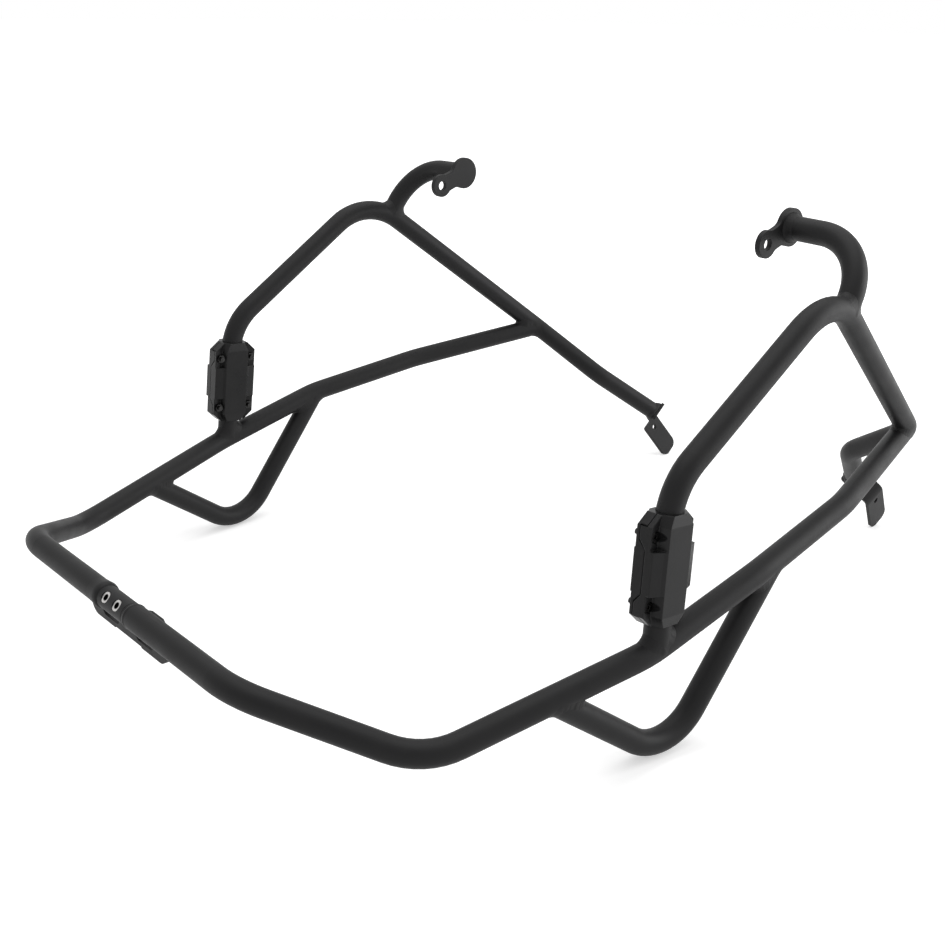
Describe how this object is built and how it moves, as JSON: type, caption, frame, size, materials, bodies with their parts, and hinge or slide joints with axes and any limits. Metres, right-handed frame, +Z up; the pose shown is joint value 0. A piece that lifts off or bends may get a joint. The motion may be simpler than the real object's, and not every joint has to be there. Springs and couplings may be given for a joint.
{
  "type": "motorcycle crash bars",
  "caption": "Tubular steel engine guard for a motorcycle: bent side frames with skid loops and clamp-on pads, bolted together at the front, with tabs that bolt to the frame.",
  "frame": {"origin": "middle of the footprint, on the floor that the loops and the rear tabs stand on", "axes": "+X to the motorcycle's right, +Y backward, +Z up"},
  "size_m": [0.6815, 0.9138, 0.4163],
  "materials": {
    "bar_coat": "satin black powder coat",
    "pad_plastic": "moulded black nylon",
    "fastener_steel": "plain stainless steel",
    "black_fastener": "black oxide steel"
  },
  "bodies": {
    "root": {"front_mount_bracket": "bar_coat", "joint_screws": "fastener_steel", "left_hoop": "bar_coat", "left_joint_plug": "bar_coat", "left_lower_bar": "bar_coat", "left_pad_inner_half": "pad_plastic", "left_pad_nuts": "black_fastener", "left_pad_outer_half": "pad_plastic", "left_pad_screws": "black_fastener", "left_rear_tab": "bar_coat", "left_skid_loop": "bar_coat", "left_top_mount_tube": "bar_coat", "left_upper_tab": "bar_coat", "right_hoop": "bar_coat", "right_joint_plug": "bar_coat", "right_lower_bar": "bar_coat", "right_pad_inner_half": "pad_plastic", "right_pad_nuts": "black_fastener", "right_pad_outer_half": "pad_plastic", "right_pad_screws": "black_fastener", "right_rear_tab": "bar_coat", "right_skid_loop": "bar_coat", "right_top_mount_tube": "bar_coat", "right_upper_tab": "bar_coat"}
  },
  "joints": []
}
